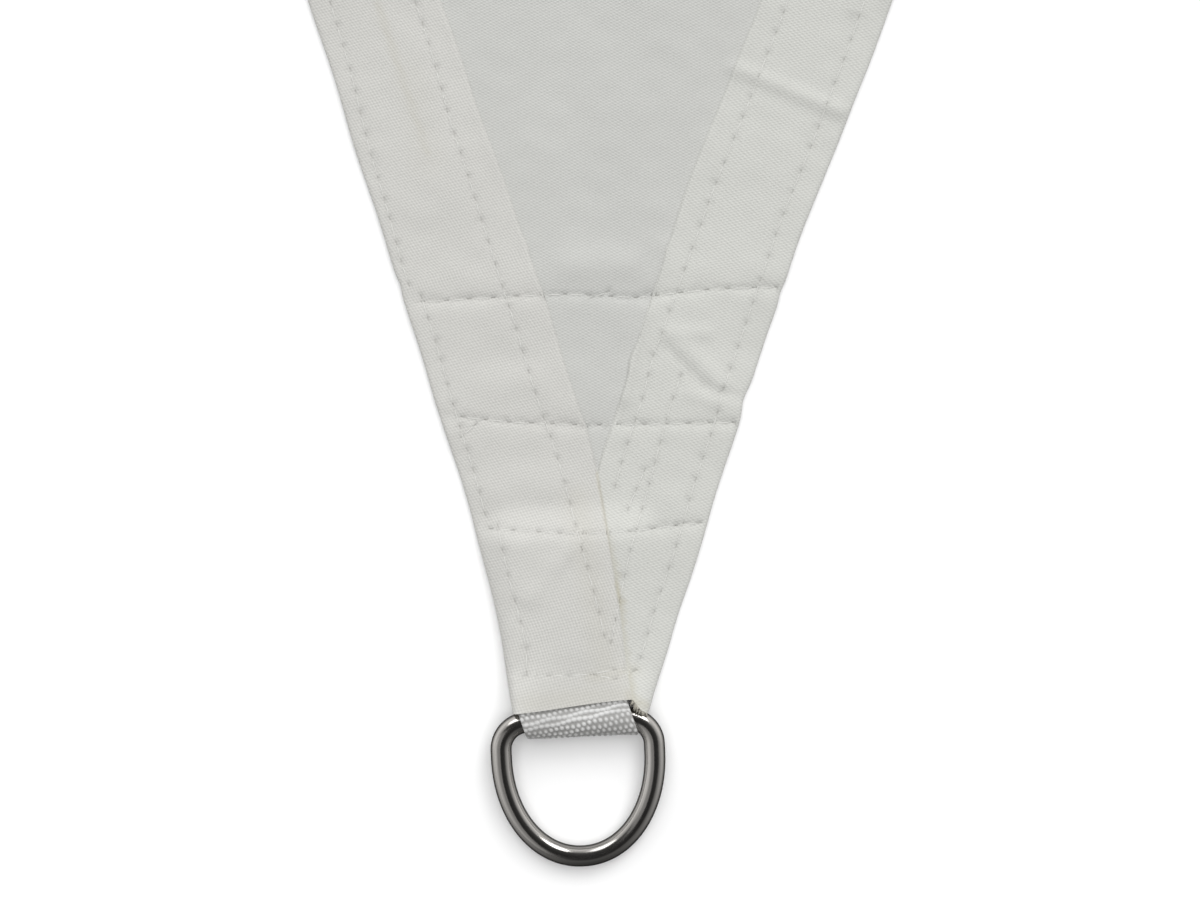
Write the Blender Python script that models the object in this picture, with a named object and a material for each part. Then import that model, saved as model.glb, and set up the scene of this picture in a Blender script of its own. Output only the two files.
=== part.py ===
"""Triangular shade sail laid out flat: one hemmed cloth, three webbing loops, three D-rings.

Metres, +Z up.  The sail lies on z = 0 with the tip of corner 1 pointing along -Y, and the
origin is the middle of its footprint.  Each corner has a frame of its own, with its origin in
the middle of the cloth's cut tip, X along the ring's bar, Y inward along the cloth and Z up.
"""

import math
from collections import namedtuple

import bmesh
import bpy
from mathutils import Matrix, Vector
from mathutils.geometry import delaunay_2d_cdt

MM = 0.001

# Sail outline
SIDE = 3600.0 * MM               # corner to corner, over the rings
HOLLOW = 0.0538 * SIDE           # depth of each hollow edge
TIP_INSET = 39.75 * MM           # cut tip to the point where two hollow edges would meet
TIP_FLARE = 2.9 * MM             # extra half width of the cut tip
FLARE_LENGTH = 25.0 * MM
HEM_WIDTH = 29.5 * MM

# Cloth thickness
PANEL = 1.0 * MM
HEM_FOLD = 0.8 * MM              # added where a hem lies on the panel
HEM_STEP = 1.0 * MM              # width of the slope at a hem's inner edge

# Webbing and ring
GAP = 0.3 * MM
WIRE_RADIUS = 2.5 * MM
STRAP_WIDTH = 26.4 * MM
STRAP_THICKNESS = 1.2 * MM
STRAP_LEG = 40.0 * MM            # length of each leg inside the cloth
BAR_OUT = 2.6 * MM               # cut tip to the axis of the ring's bar
LEGS_MEET = 9.0 * MM             # where the legs come together, from the cut tip
RING_WIDTH = 36.4 * MM           # ring sizes are to the middle of the wire
RING_LENGTH = 32.5 * MM
RING_BEND = 6.5 * MM
BOW_DEPTH = 24.3 * MM
RING_SLIDE = -0.5 * MM           # middle of the ring from the middle of the strap

# Tip pocket in the cloth
POCKET_FLOOR = 0.8 * MM
POCKET_COVER = 1.0 * MM
POCKET_WALL = 0.95 * MM
POCKET_FADE = 9.0 * MM           # over which the raised tip sinks to the hem around it

# Smallest and largest spacing of the cloth's points, and the growth between them
EDGE_STEP = 5.0 * MM
EDGE_STEP_MAX = 140.0 * MM
STEP_GROWTH = 1.28

# A corner's heading, and the turn and sidestep of its webbing and ring on the cloth
Corner = namedtuple("Corner", "name heading ring_turn sidestep")
CORNERS = (
    Corner("1", -90.0, 1.5, -0.9 * MM),
    Corner("2", 30.0, -2.0, 0.6 * MM),
    Corner("3", 150.0, 1.0, -0.4 * MM),
)

# Lattice of points inside the outline: out to a distance from the nearest cut tip
Lattice = namedtuple("Lattice", "reach spacing")
LATTICES = (
    Lattice(60.0 * MM, 6.0 * MM),
    Lattice(130.0 * MM, 12.0 * MM),
    Lattice(420.0 * MM, 32.0 * MM),
    Lattice(SIDE, 112.0 * MM),
)

# Low ridges that the folded sail keeps when it is laid out
Ridge = namedtuple("Ridge", "x y heading length half_width height")
RIDGES = (
    Ridge(0.02, 0.02, 91.0, 2.20, 0.105, 0.0060),
    Ridge(-0.05, 0.46, 2.0, 2.30, 0.095, 0.0045),
    Ridge(0.04, -0.42, -3.0, 1.00, 0.085, 0.0040),
    Ridge(-0.74, 0.34, 58.0, 1.00, 0.115, 0.0050),
    Ridge(0.78, 0.30, -63.0, 0.95, 0.105, 0.0050),
)
RIDGE_LINES = (-1.0, -0.5, 0.0, 0.5, 1.0)    # kept in the mesh, in half widths from the crest
RIDGE_CLEAR_ALONG = 1.05         # lattice points keep off a ridge, in half lengths
RIDGE_CLEAR_ACROSS = 1.35        # and in half widths

# Worked out from the sizes above
CIRCUMRADIUS = SIDE / math.sqrt(3.0)
EDGE_RADIUS = (SIDE ** 2 / 4.0 + HOLLOW ** 2) / (2.0 * HOLLOW)
HALF_ARC = math.asin(SIDE / 2.0 / EDGE_RADIUS)
CORNER_HALF = math.radians(30.0) - HALF_ARC
TURN_RADIUS = WIRE_RADIUS + GAP + STRAP_THICKNESS / 2.0
LOWER_LEG_Z = POCKET_FLOOR + GAP + STRAP_THICKNESS / 2.0
UPPER_LEG_Z = LOWER_LEG_Z + STRAP_THICKNESS + GAP
BAR_Z = LOWER_LEG_Z + TURN_RADIUS
POCKET_HALF = STRAP_WIDTH / 2.0 + GAP
POCKET_END = STRAP_LEG + GAP
POCKET_TOP = UPPER_LEG_Z + STRAP_THICKNESS / 2.0 + GAP


def clear_scene():
    for item in list(bpy.data.objects):
        bpy.data.objects.remove(item, do_unlink=True)


def material(name, color, roughness, metallic):
    made = bpy.data.materials.new(name)
    made.use_nodes = True
    shader = made.node_tree.nodes["Principled BSDF"]
    shader.inputs["Base Color"].default_value = (*color, 1.0)
    shader.inputs["Roughness"].default_value = roughness
    shader.inputs["Metallic"].default_value = metallic
    return made


def add_object(name, mesh, parent, finish):
    item = bpy.data.objects.new(name, mesh)
    bpy.context.scene.collection.objects.link(item)
    item.parent = parent
    mesh.materials.append(finish)
    return item


def polar(angle):
    return Vector((math.cos(angle), math.sin(angle)))


def smooth(value):
    value = min(max(value, 0.0), 1.0)
    return value * value * (3.0 - 2.0 * value)


# ---- outline of the sail, in the plane, about the middle of its triangle ----

def flare(swing):
    """Outward shift of an edge, which grows towards the cut tips at its ends."""
    from_tip = EDGE_RADIUS * (HALF_ARC - abs(swing)) * math.cos(CORNER_HALF) - TIP_INSET
    return TIP_FLARE * math.cos(CORNER_HALF) * math.exp(-max(from_tip, -TIP_INSET) / FLARE_LENGTH)


def edge_circle(side):
    """Centre of the circle an edge lies on, and the heading from there to the edge's middle."""
    outward = math.radians(CORNERS[side].heading + 60.0)
    return polar(outward) * (CIRCUMRADIUS / 2.0 - HOLLOW + EDGE_RADIUS), outward + math.pi


def edge_point(side, swing, inset):
    """Point at an inset from an edge; swing goes from -HALF_ARC at its first corner to HALF_ARC."""
    centre, middle = edge_circle(side)
    return centre + polar(middle - swing) * (EDGE_RADIUS - flare(swing) + inset)


def edge_distance(side, point):
    """How far inside an edge a point lies."""
    centre, middle = edge_circle(side)
    spoke = point - centre
    swing = middle - math.atan2(spoke.y, spoke.x)
    swing = (swing + math.pi) % (2.0 * math.pi) - math.pi
    return spoke.length - EDGE_RADIUS + flare(swing)


def tip_frame(corner):
    origin = polar(math.radians(corner.heading)) * (CIRCUMRADIUS - TIP_INSET)
    turn = math.radians(corner.heading + 90.0 + corner.ring_turn)
    origin += polar(turn) * corner.sidestep
    return Matrix.Translation(origin.to_3d()) @ Matrix.Rotation(turn, 4, "Z")


def to_tip(corner, point):
    return (tip_frame(corner).inverted() @ point.to_3d()).xy


def from_tip(corner, x, y):
    return (tip_frame(corner) @ Vector((x, y, 0.0))).xy


def tip_swing(side, end, inset):
    """Size of the swing at which the line at an inset from an edge meets a cut tip.

    end is -1 at the edge's first corner and 1 at its second.
    """
    corner = CORNERS[side if end < 0 else (side + 1) % 3]
    low = HALF_ARC - 150.0 * MM / EDGE_RADIUS
    high = HALF_ARC
    for _ in range(50):
        middle = (low + high) / 2.0
        if to_tip(corner, edge_point(side, end * middle, inset)).y > 0.0:
            low = middle
        else:
            high = middle
    return low


def edge_line(side, inset):
    """Points along an edge at an inset, from cut tip to cut tip, closer together near the tips."""
    halves = []
    for end in (-1, 1):
        swing = tip_swing(side, end, inset)
        step = EDGE_STEP
        half = []
        while swing > 0.6 * step / EDGE_RADIUS:
            half.append(edge_point(side, end * swing, inset))
            swing -= step / EDGE_RADIUS
            step = min(step * STEP_GROWTH, EDGE_STEP_MAX)
        halves.append(half)
    return halves[0] + [edge_point(side, 0.0, inset)] + halves[1][::-1]


# ---- heights of the cloth ----

def leg_rise(shift):
    """Angle at which the upper leg climbs to the top of its turn round the bar."""
    run = LEGS_MEET + BAR_OUT + shift
    drop = BAR_Z - UPPER_LEG_Z
    return math.atan2(drop, run) + math.asin(TURN_RADIUS / math.hypot(run, drop))


def above_leg(height):
    """Where a surface at a height over the middle of the upper leg starts to climb."""
    return LEGS_MEET + height * math.tan(leg_rise(0.0) / 2.0)


def tip_distance(point):
    return min((point - from_tip(corner, 0.0, 0.0)).length for corner in CORNERS)


def ridge_place(ridge, point):
    """Where a point lies on a ridge: along its half length, and across in half widths."""
    along = polar(math.radians(ridge.heading))
    offset = point - Vector((ridge.x, ridge.y))
    return abs(offset.dot(along)) / (ridge.length / 2.0), offset.cross(along) / ridge.half_width


def lift(point):
    """Height of the cloth's underside: the ridges, blended where they cross."""
    squares = 0.0
    for ridge in RIDGES:
        along, across = ridge_place(ridge, point)
        height = ridge.height * smooth(1.0 - abs(across)) * smooth(3.0 * (1.0 - along))
        squares += height ** 2
    return math.sqrt(squares)


def cover_height(corner, point):
    """Height of the cloth's top where it goes over the webbing, and how far this applies here."""
    spot = to_tip(corner, point)
    cover_top = POCKET_TOP + POCKET_COVER
    climb_from = above_leg(cover_top - UPPER_LEG_Z)
    height = cover_top + max(climb_from - spot.y, 0.0) * math.tan(leg_rise(0.0))
    beside = max(abs(spot.x) - POCKET_HALF - POCKET_WALL, 0.0)
    beyond = max(spot.y - POCKET_END - POCKET_WALL, 0.0)
    return height, smooth(1.0 - math.hypot(beside, beyond) / POCKET_FADE)


def top_height(point):
    """Height of the cloth's top side."""
    height = lift(point) + PANEL
    for side in range(len(CORNERS)):
        inside = edge_distance(side, point)
        height += HEM_FOLD * min(max((HEM_WIDTH - inside) / HEM_STEP + 0.5, 0.0), 1.0)
    for corner in CORNERS:
        cover, share = cover_height(corner, point)
        height += (cover - height) * share
    return height


# ---- plan of the cloth's mesh ----

class Plan:
    """Points in the plane, and the lines between them that the mesh keeps."""

    def __init__(self):
        self.points = []
        self.lines = []

    def add_line(self, points):
        first = len(self.points)
        self.points.extend(points)
        self.lines.extend((first + step, first + step + 1) for step in range(len(points) - 1))

    def add_points(self, points):
        self.points.extend(points)


def tip_line(corner_index):
    """The cut tip, from the end of one edge to the start of the next, with the pocket's ends."""
    corner = CORNERS[corner_index]
    before = (corner_index + 2) % 3
    ends = []
    for inset in (0.0, HEM_WIDTH - HEM_STEP / 2.0, HEM_WIDTH + HEM_STEP / 2.0):
        ends.append(edge_point(before, tip_swing(before, 1, inset), inset))
        ends.append(edge_point(corner_index, -tip_swing(corner_index, -1, inset), inset))
    reach = POCKET_HALF + POCKET_WALL
    ends.extend((from_tip(corner, -reach, 0.0), from_tip(corner, reach, 0.0)))
    return sorted(ends, key=lambda point: to_tip(corner, point).x)


def pocket_lines(corner):
    """The pocket's rim, the line where its cover starts to climb, and lines round its fade."""
    reach = POCKET_HALF + POCKET_WALL
    end = POCKET_END + POCKET_WALL
    climb_from = above_leg(POCKET_TOP + POCKET_COVER - UPPER_LEG_Z)
    rim = ((-reach, 0.0), (-reach, climb_from), (-reach, end), (reach, end), (reach, climb_from),
           (reach, 0.0))
    yield [from_tip(corner, x, y) for x, y in rim]
    yield [from_tip(corner, x, climb_from) for x in (-reach, 0.0, reach)]
    for share in (0.33, 0.67, 1.0):
        away = share * POCKET_FADE
        round_rim = [Vector((-reach - away, step * end / 6.0)) for step in range(6)]
        for centre_x, first in ((-reach, 180.0), (reach, 90.0)):
            for step in range(4):
                turned = polar(math.radians(first - 30.0 * step))
                round_rim.append(Vector((centre_x, end)) + turned * away)
        round_rim += [Vector((reach + away, step * end / 6.0)) for step in range(5, -1, -1)]
        places = [from_tip(corner, x, y) for x, y in round_rim]
        yield [place for place in places if inside_sail(place, 1.5 * MM)]


def ridge_lines(ridge):
    """A ridge's crest and the lines along its flanks."""
    along = polar(math.radians(ridge.heading))
    across = along.orthogonal()
    steps = max(int(ridge.length / EDGE_STEP_MAX), 2)
    for offset in RIDGE_LINES:
        start = Vector((ridge.x, ridge.y)) + across * offset * ridge.half_width
        yield [start + along * ridge.length * (step / steps - 0.5) for step in range(steps + 1)]


def lattice_points(lattice, nearest):
    """Points of a triangular lattice, at least nearest and at most lattice.reach from a cut tip."""
    row_height = lattice.spacing * math.sqrt(0.75)
    rows = int(2.0 * CIRCUMRADIUS / row_height)
    columns = int(2.0 * CIRCUMRADIUS / lattice.spacing)
    for row in range(-rows // 2, rows // 2 + 1):
        for column in range(-columns // 2, columns // 2 + 1):
            spot = Vector(((column + 0.5 * (row % 2)) * lattice.spacing, row * row_height))
            away = tip_distance(spot)
            if away < nearest or away > lattice.reach:
                continue
            if on_pocket(spot) or on_ridge(spot):
                continue
            inside = [edge_distance(side, spot) for side in range(len(CORNERS))]
            beside_hem = min(abs(distance - HEM_WIDTH) for distance in inside)
            if min(inside) > 0.4 * lattice.spacing and beside_hem > 0.4 * lattice.spacing + HEM_STEP:
                yield spot


def on_pocket(point):
    """Whether a point is over a pocket or in its fade, which have lines of their own."""
    return any(cover_height(corner, point)[1] > 0.0 for corner in CORNERS)


def on_ridge(point):
    for ridge in RIDGES:
        along, across = ridge_place(ridge, point)
        if along < RIDGE_CLEAR_ALONG and abs(across) < RIDGE_CLEAR_ACROSS:
            return True
    return False


def inside_sail(point, margin=0.0):
    if min(edge_distance(side, point) for side in range(len(CORNERS))) < margin:
        return False
    return all(to_tip(corner, point).y > 0.0 for corner in CORNERS)


def sail_plan():
    plan = Plan()
    for index, corner in enumerate(CORNERS):
        plan.add_line(tip_line(index))
        for inset in (0.0, HEM_WIDTH - HEM_STEP / 2.0, HEM_WIDTH + HEM_STEP / 2.0):
            plan.add_line(edge_line(index, inset))
        for line in pocket_lines(corner):
            plan.add_line(line)
    for ridge in RIDGES:
        for line in ridge_lines(ridge):
            plan.add_line([point for point in line if inside_sail(point, 2.0 * HEM_WIDTH)])
    nearest = 0.0
    for lattice in LATTICES:
        plan.add_points(lattice_points(lattice, nearest))
        nearest = lattice.reach
    return plan


def cloth_mesh():
    """Closed sheet: the plan's triangles as a top and an underside, joined by a wall all round."""
    plan = sail_plan()
    points, _, faces, _, _, _ = delaunay_2d_cdt(plan.points, plan.lines, [], 0, 1e-6, False)
    kept = []
    for face in faces:
        middle = sum((points[corner] for corner in face), Vector((0.0, 0.0))) / len(face)
        if inside_sail(middle):
            kept.append(face)
    used = sorted({corner for face in kept for corner in face})

    shape = bmesh.new()
    top = {}
    under = {}
    for index in used:
        point = points[index]
        top[index] = shape.verts.new((point.x, point.y, top_height(point)))
        under[index] = shape.verts.new((point.x, point.y, lift(point)))
    for face in kept:
        shape.faces.new([top[corner] for corner in face])
        shape.faces.new([under[corner] for corner in reversed(face)])
    sides = {(face[step], face[(step + 1) % len(face)]) for face in kept for step in range(len(face))}
    for first, second in sides:
        if (second, first) not in sides:
            shape.faces.new((top[second], top[first], under[first], under[second]))
    mesh = bpy.data.meshes.new("sail_cloth")
    shape.to_mesh(mesh)
    shape.free()
    return mesh


# ---- pocket, webbing and ring, in their corner's frame ----

def prism_mesh(name, outline, half_width):
    """Block with a (y, z) outline, from -half_width to half_width along X."""
    shape = bmesh.new()
    left = [shape.verts.new((-half_width, y, z)) for y, z in outline]
    right = [shape.verts.new((half_width, y, z)) for y, z in outline]
    shape.faces.new(left)
    shape.faces.new(right[::-1])
    for step in range(len(outline)):
        after = (step + 1) % len(outline)
        shape.faces.new((left[after], left[step], right[step], right[after]))
    bmesh.ops.recalc_face_normals(shape, faces=shape.faces)
    mesh = bpy.data.meshes.new(name)
    shape.to_mesh(mesh)
    shape.free()
    return mesh


def pocket_outline():
    mouth = -2.0 * MM
    climb_from = above_leg(POCKET_TOP - UPPER_LEG_Z)
    mouth_top = POCKET_TOP + (climb_from - mouth) * math.tan(leg_rise(0.0))
    return ((mouth, POCKET_FLOOR), (POCKET_END, POCKET_FLOOR), (POCKET_END, POCKET_TOP),
            (climb_from, POCKET_TOP), (mouth, mouth_top))


def strap_path(shift):
    """Middle line of the strap as (y, z): upper leg, turn round the bar, lower leg."""
    rise = leg_rise(shift)
    start = math.pi / 2.0 - rise
    turn = 3.0 * math.pi / 2.0 - start
    steps = 13
    path = [Vector((STRAP_LEG, UPPER_LEG_Z)), Vector((LEGS_MEET, UPPER_LEG_Z))]
    for step in range(steps + 1):
        angle = start + turn * step / steps
        path.append(Vector((-BAR_OUT - shift, BAR_Z)) + polar(angle) * TURN_RADIUS)
    path.append(Vector((STRAP_LEG, LOWER_LEG_Z)))
    return path


def offset_path(path, distance):
    """The path moved to its right by a distance, with its corners kept square."""
    moved = []
    for step, point in enumerate(path):
        before = (point - path[step - 1]).normalized() if step > 0 else None
        after = (path[step + 1] - point).normalized() if step + 1 < len(path) else None
        before = before or after
        after = after or before
        mean = (before + after).normalized()
        normal = Vector((mean.y, -mean.x))
        moved.append(point + normal * distance / mean.dot(before))
    return moved


def bend_drop(x):
    """How far the bar's axis has curved away from its straight part."""
    past = max(abs(x - RING_SLIDE) - (RING_WIDTH / 2.0 - RING_BEND), 0.0)
    return RING_BEND - math.sqrt(RING_BEND ** 2 - past ** 2)


def strap_mesh():
    """The strap, whose turn follows the start of the ring's bends at both edges."""
    half = STRAP_WIDTH / 2.0
    left = RING_SLIDE - (RING_WIDTH / 2.0 - RING_BEND)
    right = RING_SLIDE + (RING_WIDTH / 2.0 - RING_BEND)
    slant = 1.45                 # makes room for the wire, which crosses the edges at a slant
    shape = bmesh.new()
    rows = []
    for x in (-half, (left - half) / 2.0, left, right, (right + half) / 2.0, half):
        path = strap_path(slant * bend_drop(x))
        outside = offset_path(path, STRAP_THICKNESS / 2.0)
        inside = offset_path(path, -STRAP_THICKNESS / 2.0)
        rows.append([[shape.verts.new((x, y, z)) for y, z in run] for run in (outside, inside)])
    for (outer, inner), (next_outer, next_inner) in zip(rows, rows[1:]):
        for step in range(len(outer) - 1):
            shape.faces.new((outer[step], outer[step + 1], next_outer[step + 1], next_outer[step]))
            shape.faces.new((inner[step], next_inner[step], next_inner[step + 1], inner[step + 1]))
        for end in (0, -1):
            shape.faces.new((outer[end], inner[end], next_inner[end], next_outer[end]))
    for outer, inner in (rows[0], rows[-1]):
        for step in range(len(outer) - 1):
            shape.faces.new((outer[step], outer[step + 1], inner[step + 1], inner[step]))
    bmesh.ops.recalc_face_normals(shape, faces=shape.faces)
    mesh = bpy.data.meshes.new("corner_webbing")
    shape.to_mesh(mesh)
    shape.free()
    mesh.shade_smooth()
    mesh.set_sharp_from_angle(angle=math.radians(40.0))
    return mesh


def ring_path():
    """Middle line of the wire in the ring's own plane, with the bar on Y = 0 and the bow at -Y."""
    half = RING_WIDTH / 2.0
    bend_x = half - RING_BEND
    bow_y = -(RING_LENGTH - BOW_DEPTH)
    bend_steps = 6
    bow_steps = 24
    path = []
    for step in range(bend_steps + 1):
        angle = math.pi / 2.0 * (1.0 - step / bend_steps)
        path.append(Vector((bend_x, -RING_BEND)) + polar(angle) * RING_BEND)
    for step in range(bow_steps + 1):
        angle = -math.pi * step / bow_steps
        path.append(Vector((half * math.cos(angle), bow_y + BOW_DEPTH * math.sin(angle))))
    for step in range(bend_steps + 1):
        angle = math.pi - math.pi / 2.0 * step / bend_steps
        path.append(Vector((-bend_x, -RING_BEND)) + polar(angle) * RING_BEND)
    path.append(Vector((0.0, 0.0)))
    return path


def ring_mesh():
    sections = 12
    path = ring_path()
    shape = bmesh.new()
    rings = []
    for step, point in enumerate(path):
        along = (path[(step + 1) % len(path)] - path[step - 1]).normalized()
        across = Vector((along.y, -along.x))
        ring = []
        for section in range(sections):
            angle = 2.0 * math.pi * section / sections
            spot = point + across * WIRE_RADIUS * math.cos(angle)
            ring.append(shape.verts.new((spot.x, spot.y, WIRE_RADIUS * math.sin(angle))))
        rings.append(ring)
    for step, ring in enumerate(rings):
        after = rings[(step + 1) % len(rings)]
        for section in range(sections):
            beside = (section + 1) % sections
            shape.faces.new((ring[section], ring[beside], after[beside], after[section]))
    bmesh.ops.recalc_face_normals(shape, faces=shape.faces)
    mesh = bpy.data.meshes.new("d_ring")
    shape.to_mesh(mesh)
    shape.free()
    mesh.shade_smooth()
    return mesh


def add_pocket(cloth, corner, frame):
    """Cut a corner's pocket out of the cloth."""
    cutter = bpy.data.objects.new(
        "pocket_" + corner.name, prism_mesh("pocket", pocket_outline(), POCKET_HALF))
    bpy.context.scene.collection.objects.link(cutter)
    cutter.parent = frame
    cutter.hide_render = True
    cutter.display_type = "WIRE"
    cut = cloth.modifiers.new(cutter.name, "BOOLEAN")
    cut.operation = "DIFFERENCE"
    cut.object = cutter


def add_ring(corner, frame, steel):
    """Ring with its bar in the webbing's turn and its bow resting on the ground."""
    ring = add_object("d_ring_" + corner.name, ring_mesh(), frame, steel)
    sag = math.asin((BAR_Z - WIRE_RADIUS) / RING_LENGTH)
    ring.location = (RING_SLIDE, -BAR_OUT, BAR_Z)
    ring.rotation_euler = (sag, 0.0, 0.0)
    return ring


def centre_on_origin(root, solids):
    """Move the sail so that the middle of its footprint is the origin."""
    bpy.context.view_layer.update()
    depsgraph = bpy.context.evaluated_depsgraph_get()
    places = []
    for item in solids:
        mesh = item.evaluated_get(depsgraph).to_mesh()
        places.extend(item.matrix_world @ vertex.co for vertex in mesh.vertices)
    for axis in (0, 1):
        reach = [place[axis] for place in places]
        root.location[axis] = -(min(reach) + max(reach)) / 2.0


def build_sail():
    clear_scene()
    canvas = material("off_white_polyester", (0.60, 0.60, 0.57), 0.85, 0.0)
    webbing = material("white_webbing", (0.78, 0.79, 0.80), 0.80, 0.0)
    steel = material("polished_steel", (0.62, 0.61, 0.59), 0.15, 1.0)
    root = bpy.data.objects.new("sail", None)
    bpy.context.scene.collection.objects.link(root)

    cloth = add_object("sail_cloth", cloth_mesh(), root, canvas)
    solids = [cloth]
    for corner in CORNERS:
        frame = bpy.data.objects.new("corner_" + corner.name, None)
        bpy.context.scene.collection.objects.link(frame)
        frame.parent = root
        frame.matrix_local = tip_frame(corner)
        add_pocket(cloth, corner, frame)
        solids.append(add_object("corner_webbing_" + corner.name, strap_mesh(), frame, webbing))
        solids.append(add_ring(corner, frame, steel))
    centre_on_origin(root, solids)


build_sail()
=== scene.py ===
"""Looks of the shade sail: its puckered, hemmed and stitched cloth, its webbing and its rings."""

import math
from collections import namedtuple

import bmesh
import bpy
import numpy as np
from mathutils import Matrix, Vector, kdtree
from mathutils.geometry import delaunay_2d_cdt


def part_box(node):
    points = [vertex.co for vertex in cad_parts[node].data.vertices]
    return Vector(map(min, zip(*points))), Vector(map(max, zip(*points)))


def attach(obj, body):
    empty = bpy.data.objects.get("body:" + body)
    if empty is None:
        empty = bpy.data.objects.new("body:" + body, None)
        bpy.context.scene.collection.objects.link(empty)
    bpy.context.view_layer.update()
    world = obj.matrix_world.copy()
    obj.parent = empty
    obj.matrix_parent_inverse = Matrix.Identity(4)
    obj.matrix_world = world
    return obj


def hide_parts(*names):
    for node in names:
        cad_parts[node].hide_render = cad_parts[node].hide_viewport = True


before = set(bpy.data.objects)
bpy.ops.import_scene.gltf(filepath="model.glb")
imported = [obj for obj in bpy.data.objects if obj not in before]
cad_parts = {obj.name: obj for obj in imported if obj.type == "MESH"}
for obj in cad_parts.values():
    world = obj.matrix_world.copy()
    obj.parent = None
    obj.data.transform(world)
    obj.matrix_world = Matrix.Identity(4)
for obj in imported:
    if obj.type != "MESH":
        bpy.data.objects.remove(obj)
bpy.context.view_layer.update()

MM = 0.001

# Sail outline, as in the frame
SIDE = 3600.0 * MM
HOLLOW = 0.0538 * SIDE
TIP_INSET = 39.75 * MM
TIP_FLARE = 2.9 * MM
FLARE_LENGTH = 25.0 * MM
HEADINGS = (-90.0, 30.0, 150.0)
TIP_TURNS = (1.5, -2.0, 1.0)         # of each flat tip of the frame's cloth

# Webbing and ring: the frame's, but corner 1 is turned and shifted as the photo shows it, and
# BAR_OUT, LEGS_MEET, RING_LENGTH, BOW_DEPTH and RING_SLIDE are up to 1 mm off the frame's
RING_TURNS = (4.0, -2.0, 1.0)
SIDESTEPS = (-1.1 * MM, 0.6 * MM, -0.4 * MM)
WIRE_RADIUS = 2.5 * MM
STRAP_WIDTH = 26.4 * MM
STRAP_THICKNESS = 1.2 * MM
STRAP_LEG = 40.0 * MM
BAR_OUT = 2.0 * MM
LEGS_MEET = 10.0 * MM
RING_WIDTH = 36.4 * MM
RING_LENGTH = 32.7 * MM
RING_BEND = 6.5 * MM
BOW_DEPTH = 24.2 * MM
BOW_FULLNESS = 2.06              # 2 is an ellipse; more is squarer
RING_SLIDE = -0.15 * MM
GAP = 0.3 * MM
POCKET_FLOOR = 0.8 * MM

# Cloth, thinner than the frame's
PANEL = 0.6 * MM
HEM_FOLD = 0.5 * MM
COVER = 0.7 * MM                 # cloth's top over the webbing's top
COVER_FADE = 10.0 * MM
RIM_FINE = 1.6 * MM              # spacing of points along the outline, in the corner zones
RIM_COARSE = 24.0 * MM           # and in the middle of a side
LIP = 0.12 * MM                  # extra height of the roll at a hem's inner edge
OUTER_LINES = ((0.0, 0.30), (0.12 * MM, 0.62), (0.35 * MM, 0.88), (0.8 * MM, 1.0))

# Lines along a hem's inner edge: distance into the hem, and how much shade is painted on it there,
# as a dark line at the foot of the edge
InnerLine = namedtuple("InnerLine", "into shade")
INNER_LINES = (
    InnerLine(-0.45 * MM, 0.0),
    InnerLine(-0.05 * MM, 0.42),
    InnerLine(0.12 * MM, 0.25),
    InnerLine(0.35 * MM, 0.0),
    InnerLine(0.90 * MM, 0.0),
    InnerLine(1.80 * MM, 0.0),
)

# Width of the left and right hem of a corner at distances from the tip, in millimetres
HemWidth = namedtuple("HemWidth", "away left right")
HEM_WIDTHS = (
    HemWidth(3.0, 28.5, 28.4),
    HemWidth(24.0, 29.4, 28.5),
    HemWidth(40.0, 31.2, 28.6),
    HemWidth(56.0, 32.2, 28.7),
    HemWidth(88.0, 32.2, 28.9),
    HemWidth(123.0, 31.2, 29.7),
    HemWidth(168.0, 29.6, 29.5),
    HemWidth(300.0, 29.5, 29.5),
)

# How far the left and right edges of a corner lie outside the even curve, in the same millimetres
Swerve = namedtuple("Swerve", "away left right")
SWERVES = (
    Swerve(1.0, 1.1, 0.5),
    Swerve(6.0, 0.65, 0.6),
    Swerve(11.0, 0.2, 0.9),
    Swerve(16.0, -0.25, 1.15),
    Swerve(25.0, -0.55, 0.9),
    Swerve(46.0, -0.8, 0.85),
    Swerve(60.0, -0.45, 0.45),
    Swerve(70.0, -0.5, 0.05),
    Swerve(80.0, -0.45, -0.45),
    Swerve(92.0, 0.0, -0.95),
    Swerve(130.0, 0.0, -1.05),
    Swerve(141.0, 0.0, -0.55),
    Swerve(155.0, 0.15, -0.2),
    Swerve(190.0, 0.0, 0.0),
)

# Stitches, and the pit in the cloth at each needle hole
STITCH = 5.5 * MM
THREAD_RADIUS = 0.13 * MM
PIT_LENGTH = 1.6 * MM
PIT_WIDTH = 0.5 * MM
PIT_DEPTH = 0.26 * MM

# Worked out from the sizes above
CIRCUMRADIUS = SIDE / math.sqrt(3.0)
EDGE_RADIUS = (SIDE ** 2 / 4.0 + HOLLOW ** 2) / (2.0 * HOLLOW)
HALF_ARC = math.asin(SIDE / 2.0 / EDGE_RADIUS)
CORNER_HALF = math.radians(30.0) - HALF_ARC
TURN_RADIUS = WIRE_RADIUS + GAP + STRAP_THICKNESS / 2.0
LOWER_LEG_Z = POCKET_FLOOR + GAP + STRAP_THICKNESS / 2.0
UPPER_LEG_Z = LOWER_LEG_Z + STRAP_THICKNESS + GAP
BAR_Z = LOWER_LEG_Z + TURN_RADIUS
COVER_TOP = UPPER_LEG_Z + STRAP_THICKNESS / 2.0 + COVER
CORNER_ZONE = 176.0 * MM         # detailed cloth, from each tip
CORNERS = range(3)

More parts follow.
